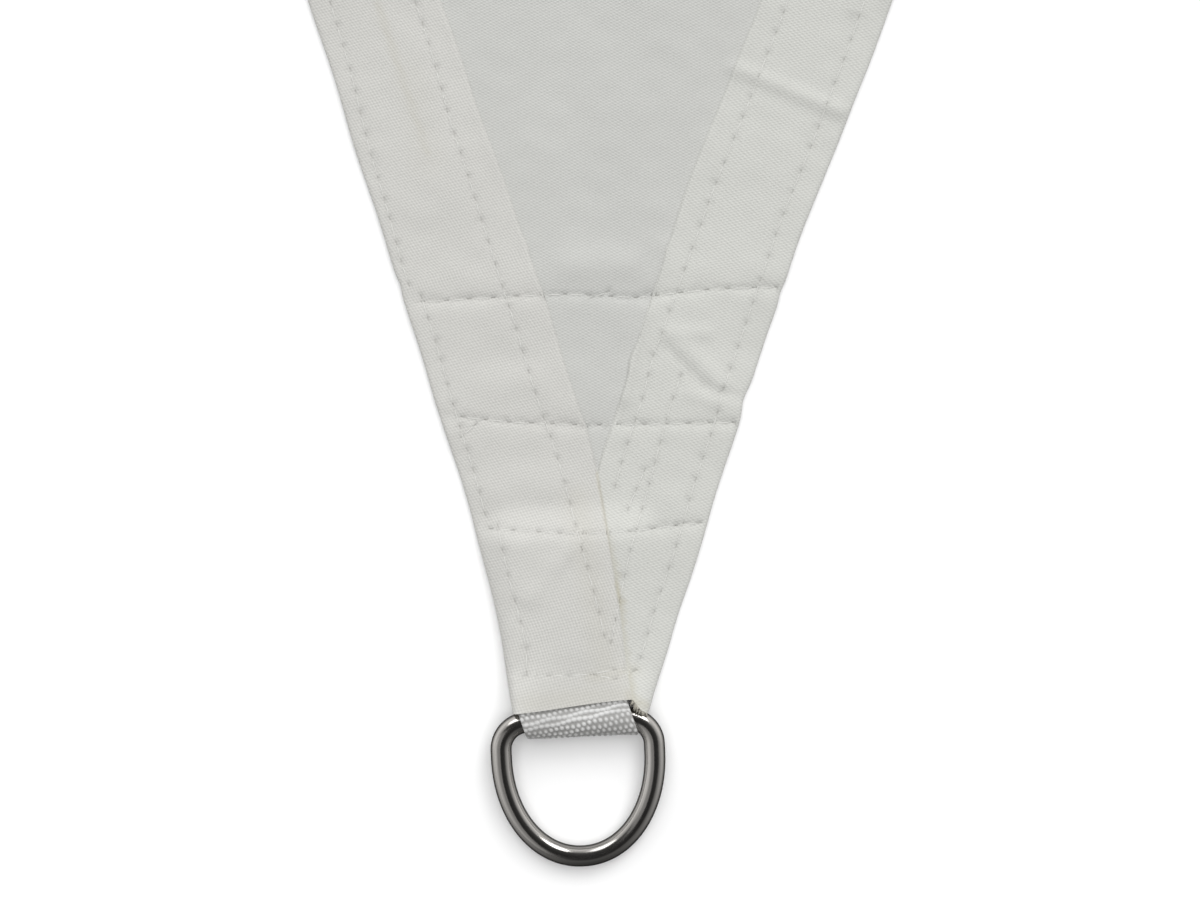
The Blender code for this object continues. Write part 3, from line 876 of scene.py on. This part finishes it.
def tube_run(path, radii, sides, up):
    """Rings of points round a path; tube_faces closes its two ends with flat faces."""
    ways = np.gradient(path, axis=0)
    ways /= np.linalg.norm(ways, axis=1)[:, None]
    across = np.cross(ways, up)
    across /= np.linalg.norm(across, axis=1)[:, None]
    high = np.cross(across, ways)
    angles = np.linspace(0.0, 2.0 * math.pi, sides, endpoint=False)
    circle = across[:, None] * np.cos(angles)[:, None] + high[:, None] * np.sin(angles)[:, None]
    return path[:, None] + circle * radii[:, None, None]


def tube_faces(rings, sides, first):
    faces = []
    for ring in range(rings - 1):
        for step in range(sides):
            after = (step + 1) % sides
            low = first + ring * sides
            high = low + sides
            faces.append((low + step, high + step, high + after, low + after))
    faces.append(tuple(first + step for step in range(sides)))
    last = first + (rings - 1) * sides
    faces.append(tuple(last + step for step in reversed(range(sides))))
    return faces


def add_tube(vertices, faces, path, radii, sides):
    """Adds a closed tube round a path to a list of vertices and a list of faces."""
    rings = tube_run(path, radii, sides, np.array((0.0, 0.0, 1.0)))
    faces.extend(tube_faces(len(path), sides, len(vertices)))
    vertices.extend(rings.reshape(-1, 3))


def build_thread(name, shift, rows, shares, bows, sides, thread):
    """Every stitch of some rows as a short thread that dives into the cloth at both ends."""
    vertices = []
    faces = []
    for holes, groove in rows:
        starts = holes[:-1]
        ends = holes[1:]
        spots = starts[:, None] + (ends - starts)[:, None] * np.array(shares)[None, :, None]
        flat = spots.reshape(-1, 2)
        heights = top_height(flat).reshape(len(starts), -1) + np.array(bows) * MM - 0.8 * groove
        for place, height in zip(spots, heights):
            path = np.column_stack((place + shift, height))
            radii = np.full(len(path), THREAD_RADIUS)
            radii[[0, -1]] *= 0.55
            add_tube(vertices, faces, path, radii, sides)
    item = mesh_object(name, vertices, faces, [thread])
    item.data.shade_smooth()
    return item


def build_fray(shift, thread):
    """Loose yarn ends at the short slanting part of each cut tip."""
    vertices = []
    faces = []
    for corner in CORNERS:
        draw = np.random.default_rng(40 + corner)
        for number in range(34):
            x = draw.uniform(11.9, 15.4)
            y = np.interp(x, TIP_CUT_X, TIP_CUT_Y) + 0.35
            lean = draw.uniform(-0.9, 0.5)
            length = draw.uniform(0.7, 1.9)
            spots = np.array(((x, y), (x + 0.4 * lean, y - 0.5 * length), (x + lean, y - length)))
            flat = from_corner(corner, spots * MM, CUT_TURNS[corner])
            top = top_height(flat[:1])[0]
            heights = top - np.array((0.25, draw.uniform(0.1, 0.7), draw.uniform(0.5, 1.6))) * MM
            path = np.column_stack((flat + shift, heights))
            radii = np.array((0.17, 0.17, 0.12)) * MM
            add_tube(vertices, faces, path, radii, 5)
    item = mesh_object("cut_tip_fray", vertices, faces, [thread])
    item.data.shade_smooth()
    return item


# ---- webbing and ring ----

def tip_matrix(corner, shift):
    origin, axes = corner_axes(corner, RING_TURNS[corner])
    origin = origin + axes[0] * SIDESTEPS[corner]
    turn = math.radians(HEADINGS[corner] + 90.0 + RING_TURNS[corner])
    place = Matrix.Translation((origin[0] + shift[0], origin[1] + shift[1], 0.0))
    return place @ Matrix.Rotation(turn, 4, "Z")


def strap_path(shift, step):
    """Middle line of the webbing as (y, z), and how far along it each point is."""
    rise = leg_rise(shift)
    start = math.pi / 2.0 - rise
    turn = 3.0 * math.pi / 2.0 - start
    angles = start + np.linspace(0.0, turn, 60)
    arc = np.array((-BAR_OUT - shift, BAR_Z)) + polar(angles) * TURN_RADIUS
    knots = np.vstack(((STRAP_LEG, UPPER_LEG_Z), (LEGS_MEET, UPPER_LEG_Z), arc,
                       (STRAP_LEG, LOWER_LEG_Z)))
    reached = np.concatenate(((0.0,), np.cumsum(np.linalg.norm(np.diff(knots, axis=0), axis=1))))
    fine_from = reached[1] - 1.0 * MM
    fine_to = reached[-2] + 8.0 * MM
    stops = np.concatenate((np.linspace(0.0, fine_from, 5)[:-1],
                            np.linspace(fine_from, fine_to, step),
                            np.linspace(fine_to, reached[-1], 5)[1:]))
    path = np.stack([np.interp(stops, reached, knots[:, axis]) for axis in (0, 1)], axis=-1)
    return path, stops - reached[2]


def bend_drop(x):
    past = np.maximum(np.abs(x) - (RING_WIDTH / 2.0 - RING_BEND), 0.0)
    return RING_BEND - np.sqrt(RING_BEND ** 2 - past ** 2)


def knobs(x, run):
    """Weave of the webbing, from 0 in its gaps to 1: rows of round knobs, and a ribbed stripe."""
    pitch = 1.36 * MM
    row_pitch = 1.20 * MM
    slant = run + (0.15 - 0.006 * np.maximum(run / MM - 2.0, 0.0)) * x
    row = np.round(slant / row_pitch)
    column = np.round(x / pitch - 0.5 * (row % 2))
    uneven = 0.5 + 0.5 * np.sin(12.9 * column + 7.1 * row)
    dx = (x / pitch - 0.5 * (row % 2) - column + 0.10 * uneven - 0.05) * pitch
    dy = slant - (row + 0.12 * np.sin(5.3 * column + 3.7 * row)) * row_pitch
    ribbed = smooth(1.5 - np.abs(slant - 0.4 * MM) / (1.4 * MM))
    wide = (0.46 + 0.10 * uneven) * MM
    across = (1.0 - 0.7 * ribbed) * (dx / wide) ** 2
    return np.maximum(1.0 - across - (dy / (0.52 * MM)) ** 2, 0.0) ** 0.6 * (0.75 + 0.25 * uneven)


def build_webbing(corner, shift, webbing):
    """One webbing loop, a little askew: knobbly outside, plain inside, with rounded selvedges."""
    steps = 150
    outer = []
    inner = []
    weave = []
    for x in np.linspace(-STRAP_WIDTH / 2.0, STRAP_WIDTH / 2.0, 151):
        path, run = strap_path(0.5 * float(bend_drop(x + 0.6 * MM - RING_SLIDE)), steps)
        ways = np.gradient(path, axis=0)
        ways /= np.linalg.norm(ways, axis=1)[:, None]
        normals = np.stack((ways[:, 1], -ways[:, 0]), axis=-1)
        from_side = STRAP_WIDTH / 2.0 - abs(x)
        round_off = math.sqrt(1.0 - max(1.0 - from_side / (0.55 * MM), 0.0) ** 2)
        shown = smooth((run + 14.0 * MM) / MM) * smooth((26.0 * MM - run) / MM)
        half = STRAP_THICKNESS / 2.0 * (0.25 + 0.75 * round_off)
        knob = knobs(x, run)
        outside = path + normals * (half + (0.36 * knob - 0.2) * MM * round_off * shown)[:, None]
        inside = path - normals * half
        skew = -0.7 * MM + 0.29 * np.clip(0.7 * MM - path[:, 0], -1.2 * MM, 7.0 * MM)
        outer.append(np.column_stack((x + skew, outside)))
        inner.append(np.column_stack((x + skew, inside)))
        weave.append(knob)
    inner = np.array(inner)[::6, ::2]
    item = strap_object(corner, shift, np.array(outer), inner, webbing)
    knob_heights = np.concatenate((np.array(weave).ravel(), np.full(inner[..., 0].size, 0.5)))
    float_attribute(item.data, "knob", "POINT", knob_heights)
    return item


def strap_object(corner, shift, outer, inner, webbing):
    """Join the two faces of a strap round all four sides."""
    vertices = np.vstack((outer.reshape(-1, 3), inner.reshape(-1, 3)))
    rows, count = outer.shape[:2]
    inner_rows, inner_count = inner.shape[:2]
    first = rows * count
    faces = []
    for row in range(rows - 1):
        for step in range(count - 1):
            here = row * count + step
            faces.append((here, here + 1, here + count + 1, here + count))
    for row in range(inner_rows - 1):
        for step in range(inner_count - 1):
            here = first + row * inner_count + step
            faces.append((here, here + inner_count, here + inner_count + 1, here + 1))
    outer_rim = rim_of(rows, count, 0)
    inner_rim = rim_of(inner_rows, inner_count, first)
    faces += zip_rims(outer_rim, inner_rim, vertices)
    item = mesh_object(f"webbing_loop_{corner + 1}", vertices, faces, [webbing])
    item.data.transform(tip_matrix(corner, shift))
    item.data.shade_smooth()
    return item


def rim_of(rows, count, first):
    """Indices round a grid, side by side: a list for each of its four sides."""
    grid = first + np.arange(rows * count).reshape(rows, count)
    return [grid[0, :], grid[:, -1], grid[-1, ::-1], grid[::-1, 0]]


def zip_rims(outer_sides, inner_sides, vertices):
    """Triangles between matching sides that have different numbers of points."""
    faces = []
    for outer, inner in zip(outer_sides, inner_sides):
        a = 0
        b = 0
        while a < len(outer) - 1 or b < len(inner) - 1:
            outer_share = (a + 1) / (len(outer) - 1) if a < len(outer) - 1 else 2.0
            inner_share = (b + 1) / (len(inner) - 1) if b < len(inner) - 1 else 2.0
            if outer_share <= inner_share:
                faces.append((outer[a + 1], outer[a], inner[b]))
                a += 1
            else:
                faces.append((outer[a], inner[b], inner[b + 1]))
                b += 1
    return faces


def ring_path():
    """Middle line of the wire, with the bar on Y = 0 and the bow at -Y."""
    half = RING_WIDTH / 2.0
    bend_x = half - RING_BEND
    bend = np.linspace(math.pi / 2.0, 0.0, 15)
    bow = np.linspace(0.0, -math.pi, 75)
    right = np.array((bend_x, -RING_BEND)) + polar(bend) * RING_BEND
    bulge = np.stack((np.cos(bow), np.sin(bow)), axis=-1)
    bulge = np.sign(bulge) * np.abs(bulge) ** (2.0 / BOW_FULLNESS)
    bottom = (0.0, BOW_DEPTH - RING_LENGTH) + bulge * (half, BOW_DEPTH)
    left = np.array((-bend_x, -RING_BEND)) + polar(math.pi - bend[::-1]) * RING_BEND
    bar = np.column_stack((np.linspace(-bend_x, bend_x, 10)[1:-1], np.zeros(8)))
    return np.vstack((right, bottom, left, bar))


def build_ring(corner, shift, steel):
    sections = 32
    path = ring_path()
    ways = np.roll(path, -1, axis=0) - np.roll(path, 1, axis=0)
    ways /= np.linalg.norm(ways, axis=1)[:, None]
    across = np.stack((ways[:, 1], -ways[:, 0]), axis=-1)
    angles = np.linspace(0.0, 2.0 * math.pi, sections, endpoint=False)
    flat = path[:, None] + across[:, None] * WIRE_RADIUS * np.cos(angles)[None, :, None]
    high = np.broadcast_to(WIRE_RADIUS * np.sin(angles), flat.shape[:2])
    vertices = np.concatenate((flat, high[..., None]), axis=-1).reshape(-1, 3)
    faces = []
    for ring in range(len(path)):
        after_ring = (ring + 1) % len(path)
        for step in range(sections):
            after = (step + 1) % sections
            faces.append((ring * sections + step, after_ring * sections + step,
                          after_ring * sections + after, ring * sections + after))
    item = mesh_object(f"steel_ring_{corner + 1}", vertices, faces, [steel])
    sag = math.asin((BAR_Z - WIRE_RADIUS) / RING_LENGTH)
    place = Matrix.Translation((RING_SLIDE, -BAR_OUT, BAR_Z)) @ Matrix.Rotation(sag, 4, "X")
    item.data.transform(tip_matrix(corner, shift) @ place)
    item.data.shade_smooth()
    return item


# ---- materials ----

class Nodes:
    """Short ways to add and link the nodes of a material or a world."""

    def __init__(self, owner):
        self.owner = owner
        owner.use_nodes = True
        self.tree = owner.node_tree

    def add(self, kind, **inputs):
        node = self.tree.nodes.new(kind)
        for key, value in inputs.items():
            self.put(node.inputs[key.replace("_", " ")], value)
        return node

    def put(self, socket, value):
        if isinstance(value, bpy.types.NodeSocket):
            self.tree.links.new(value, socket)
        else:
            socket.default_value = value

    def math(self, operation, first, second=0.0, third=0.0):
        node = self.tree.nodes.new("ShaderNodeMath")
        node.operation = operation
        for socket, value in zip(node.inputs, (first, second, third)):
            self.put(socket, value)
        return node.outputs[0]

    def mix(self, share, first, second, blend="MIX"):
        node = self.tree.nodes.new("ShaderNodeMix")
        node.data_type = "RGBA"
        node.blend_type = blend
        self.put(node.inputs[0], share)
        self.put(node.inputs[6], first)
        self.put(node.inputs[7], second)
        return node.outputs[2]

    def blend(self, share, first, second):
        """first where share is 0, second where it is 1."""
        return self.math("MULTIPLY_ADD", share, self.math("SUBTRACT", second, first), first)

    def attribute(self, name):
        node = self.tree.nodes.new("ShaderNodeAttribute")
        node.attribute_name = name
        return node.outputs["Fac"]

    def noise(self, vector, scale, detail=2.0):
        node = self.add("ShaderNodeTexNoise", Scale=scale, Detail=detail, Vector=vector)
        return node.outputs["Fac"]

    def waves(self, x, y, angle, pitch):
        """Fine lines across a heading: a sine from -1 to 1."""
        turned = self.math("ADD", self.math("MULTIPLY", x, math.cos(angle) * 2.0 * math.pi / pitch),
                           self.math("MULTIPLY", y, math.sin(angle) * 2.0 * math.pi / pitch))
        return self.math("SINE", turned)

    def bump(self, height, strength, distance):
        node = self.add("ShaderNodeBump", Strength=strength, Distance=distance, Height=height)
        return node.outputs["Normal"]

    def surface(self, **inputs):
        """Sets or links the shader's inputs, and returns the finished material."""
        shader = self.tree.nodes["Principled BSDF"]
        for key, value in inputs.items():
            self.put(shader.inputs[key.replace("_", " ")], value)
        return self.owner


def new_material(name):
    return Nodes(bpy.data.materials.new(name))


def rgb(*values):
    return (*values, 1.0)


def canvas_material():
    """Woven polyester, lighter on the hems, with shade painted dark in the needle pits, along the
    grooves and hem edges and towards the cut tips.
    """
    nodes = new_material("off_white_canvas")
    weave = nodes.add("ShaderNodeUVMap")
    weave.uv_map = "weave"
    split = nodes.add("ShaderNodeSeparateXYZ", Vector=weave.outputs["UV"])
    x, y = split.outputs["X"], split.outputs["Y"]
    coat = nodes.add("ShaderNodeCombineXYZ", X=x, Y=y).outputs["Vector"]
    hem = nodes.attribute("hem")
    handed = nodes.attribute("handed")
    yarns = []
    for first, first_pitch, second, second_pitch in YARNS:
        one = nodes.waves(x, y, math.radians(first), first_pitch * MM)
        other = nodes.waves(x, y, math.radians(second), second_pitch * MM)
        yarns.append(nodes.math("MULTIPLY", one, other))
    yarn = nodes.blend(hem, yarns[0], nodes.blend(handed, yarns[2], yarns[1]))
    slub = nodes.noise(coat, 1900.0, 2.0)
    cloud = nodes.noise(coat, 38.0, 3.0)
    wide = nodes.noise(coat, 3.0, 2.0)

    panel = rgb(0.502, 0.505, 0.485)
    left_hem = rgb(0.536, 0.532, 0.508)
    right_hem = rgb(0.545, 0.548, 0.520)
    hems = nodes.mix(handed, right_hem, left_hem)
    color = nodes.mix(hem, panel, hems)
    tone = nodes.math("MULTIPLY_ADD", yarn, 0.125, 1.0)
    tone = nodes.math("ADD", tone, nodes.math("MULTIPLY_ADD", slub, 0.24, -0.12))
    tone = nodes.math("ADD", tone, nodes.math("MULTIPLY_ADD", cloud, 0.10, -0.05))
    tone = nodes.math("ADD", tone, nodes.math("MULTIPLY_ADD", wide, 0.05, -0.025))
    grey = nodes.add("ShaderNodeCombineColor", Red=tone, Green=tone, Blue=tone).outputs["Color"]
    color = nodes.mix(1.0, color, grey, "MULTIPLY")
    aged = nodes.math("MULTIPLY", nodes.attribute("tan"), 0.6)
    color = nodes.mix(aged, color, rgb(0.40, 0.37, 0.27))
    # Painted shade, read from the pit attribute
    pits = nodes.math("MULTIPLY", nodes.attribute("pit"), 0.27)
    color = nodes.mix(pits, color, rgb(0.16, 0.155, 0.14))
    relief = nodes.math("ADD", nodes.math("MULTIPLY", yarn, 0.5), slub)
    return nodes.surface(Base_Color=color, Roughness=0.82, Specular_IOR_Level=0.25,
                         Sheen_Weight=0.08, Normal=nodes.bump(relief, 0.35, 0.00012))


def thread_material(name, dark, light):
    nodes = new_material(name)
    place = nodes.add("ShaderNodeTexCoord").outputs["Object"]
    twist = nodes.noise(place, 2600.0, 2.0)
    color = nodes.mix(twist, dark, light)
    return nodes.surface(Base_Color=color, Roughness=0.6, Normal=nodes.bump(twist, 0.4, 0.0001))


def webbing_material():
    nodes = new_material("white_webbing")
    place = nodes.add("ShaderNodeTexCoord").outputs["Object"]
    fibres = nodes.noise(place, 3200.0, 3.0)
    soil = nodes.noise(place, 160.0, 2.0)
    color = nodes.mix(fibres, rgb(0.56, 0.56, 0.555), rgb(0.79, 0.79, 0.785))
    color = nodes.mix(nodes.math("MULTIPLY", soil, 0.25), color, rgb(0.60, 0.60, 0.59))
    # Painted shade: the gaps between the knobs are darkened, and the plain inside, whose knob is
    # 0.5, takes half of it
    gaps = nodes.math("SUBTRACT", 1.0, nodes.attribute("knob"))
    color = nodes.mix(nodes.math("MULTIPLY", gaps, 0.68), color, rgb(0.145, 0.14, 0.13))
    return nodes.surface(Base_Color=color, Roughness=0.62, Sheen_Weight=0.15,
                         Normal=nodes.bump(fibres, 0.5, 0.00012))


def steel_material():
    nodes = new_material("polished_steel")
    place = nodes.add("ShaderNodeTexCoord").outputs["Object"]
    polish = nodes.noise(place, 420.0, 3.0)
    dull = nodes.noise(place, 60.0, 2.0)
    color = nodes.mix(dull, rgb(0.50, 0.48, 0.455), rgb(0.60, 0.58, 0.555))
    return nodes.surface(Base_Color=color, Metallic=1.0, Specular_Tint=rgb(0.12, 0.12, 0.12),
                         Roughness=nodes.math("MULTIPLY_ADD", polish, 0.10, 0.13),
                         Normal=nodes.bump(polish, 0.10, 0.00015))


def floor_material():
    nodes = new_material("pale_floor")
    place = nodes.add("ShaderNodeTexCoord").outputs["Object"]
    grain = nodes.noise(place, 8.0, 2.0)
    color = nodes.mix(grain, rgb(0.955, 0.955, 0.955), rgb(0.965, 0.965, 0.965))
    return nodes.surface(Base_Color=color, Roughness=0.9, Specular_IOR_Level=0.1)


# ---- studio ----

# Brightness of the surroundings from straight down (0) to straight up (1)
WorldStop = namedtuple("WorldStop", "height brightness")
WORLD_STOPS = (
    WorldStop(0.0, 0.12),
    WorldStop(0.22, 0.20),
    WorldStop(0.36, 0.52),
    WorldStop(0.50, 0.86),
    WorldStop(0.625, 0.78),
    WorldStop(0.75, 0.52),
    WorldStop(0.83, 0.32),
    WorldStop(0.89, 0.06),
    WorldStop(1.0, 0.03),
)


def build_floor():
    half = 60.0
    floor = mesh_object("floor", [(-half, -half, -0.0004), (half, -half, -0.0004),
                                  (half, half, -0.0004), (-half, half, -0.0004)],
                        [(0, 1, 2, 3)], [floor_material()])
    floor.visible_glossy = False


def build_world():
    """Soft pale surroundings, dark overhead and underneath so that the steel has contrast."""
    world = bpy.data.worlds.new("studio")
    bpy.context.scene.world = world
    nodes = Nodes(world)
    place = nodes.add("ShaderNodeTexCoord").outputs["Generated"]
    split = nodes.add("ShaderNodeSeparateXYZ", Vector=place)
    upward = nodes.math("MULTIPLY_ADD", split.outputs["Z"], 0.5, 0.5)
    sideways = nodes.math("MULTIPLY_ADD", split.outputs["X"], -0.14, 1.0)
    inward = nodes.math("MULTIPLY_ADD", split.outputs["Y"], 0.92, sideways)
    ramp = nodes.add("ShaderNodeValToRGB", Fac=upward)
    stops = ramp.color_ramp.elements
    for stop, (position, value) in zip(stops, (WORLD_STOPS[0], WORLD_STOPS[-1])):
        stop.position = position
        stop.color = rgb(value, value, value)
    for position, value in WORLD_STOPS[1:-1]:
        stop = stops.new(position)
        stop.color = rgb(value, value, value)
    background = nodes.tree.nodes["Background"]
    nodes.put(background.inputs["Strength"], nodes.math("MINIMUM", inward, 1.15))
    nodes.put(background.inputs["Color"], ramp.outputs["Color"])


def add_sun(name, towards, softness, strength):
    """Wide soft light from far away, the same over the whole sail; towards points at the light."""
    light = bpy.data.lights.new(name, "SUN")
    light.angle = math.radians(softness)
    light.energy = strength
    item = new_object(name, light)
    item.rotation_euler = Vector(towards).to_track_quat("Z", "Y").to_euler()
    return item


def build_camera(shift):
    """Straight above the corner that is shown, turned a little against it."""
    target = from_corner(0, np.array((2.9, 62.0)) * MM) + shift
    lens = 100.0
    wide = 285.7 * MM
    camera = bpy.data.cameras.new("camera")
    camera.lens = lens
    item = new_object("camera", camera)
    distance = wide * lens / camera.sensor_width
    item.location = (target[0], target[1], distance + 1.5 * MM)
    item.rotation_euler = (0.0, 0.0, math.radians(1.4))
    camera.clip_start = 0.01
    camera.clip_end = 200.0
    bpy.context.scene.camera = item


def sail_shift():
    """From the middle of the sail's triangle to the frame's origin, measured on the CAD cloth."""
    low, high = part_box("sail_cloth")
    flats = []
    for side in CORNERS:
        for end in (-1, 1):
            corner = side if end < 0 else (side + 1) % 3
            line = HALF_ARC - (np.arange(-8.0, 8.0, 0.02) * MM + TIP_INSET) / EDGE_RADIUS
            centre, middle = edge_circle(side)
            reach = EDGE_RADIUS - tip_flare(from_tip_along(line))
            spots = centre + polar(middle - end * line) * reach[:, None]
            tip_y = to_corner(corner, spots, TIP_TURNS[corner])[:, 1]
            flats.append(spots[np.argmin(np.abs(tip_y))])
    flats = np.array(flats)
    return np.array((low.x - flats[:, 0].min(), low.y - flats[:, 1].min()))


# ---- the scene ----

shift = sail_shift()
build_camera(shift)
stitches = []
canvas = canvas_material()
thread = thread_material("white_thread", rgb(0.56, 0.56, 0.535), rgb(0.70, 0.70, 0.675))
worn = thread_material("worn_yarn", rgb(0.27, 0.25, 0.195), rgb(0.62, 0.60, 0.54))
webbing = webbing_material()
steel = steel_material()

cloth = build_cloth(shift, canvas, stitches)
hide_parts("sail_cloth")
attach(cloth, "root")

corner_thread = build_thread("corner_stitching", shift, stitches, (0.12, 0.28, 0.5, 0.72, 0.88),
                             (-0.25, -0.04, 0.0, -0.04, -0.25), 6, thread)
edge_rows = [(walk(path, STITCH, None), 0.0) for side in CORNERS for path in middle_rows(side)]
edge_thread = build_thread("edge_stitching", shift, edge_rows, (0.12, 0.5, 0.88),
                           (-0.15, 0.15, -0.15), 4, thread)
fray = build_fray(shift, worn)
for piece in (corner_thread, edge_thread, fray):
    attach(piece, "root")

fittings = []
for corner in CORNERS:
    loop = build_webbing(corner, shift, webbing)
    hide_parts(f"corner_webbing_{corner + 1}")
    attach(loop, "root")
    ring = build_ring(corner, shift, steel)
    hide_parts(f"d_ring_{corner + 1}")
    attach(ring, "root")
    fittings += [loop, ring]

build_floor()
build_world()
add_sun("key_right", (0.42, 0.73, 0.62), 28.0, 0.75)
add_sun("key_left", (-0.44, 0.72, 0.62), 28.0, 0.42)
add_sun("side_fill", (-0.60, -0.35, 0.72), 60.0, 0.22)
above = add_sun("overhead_fill", (0.10, 0.15, 1.0), 70.0, 2.06)
above.visible_glossy = False     # keeps the dark ceiling in the polished steel
bpy.context.scene.view_settings.view_transform = "Standard"
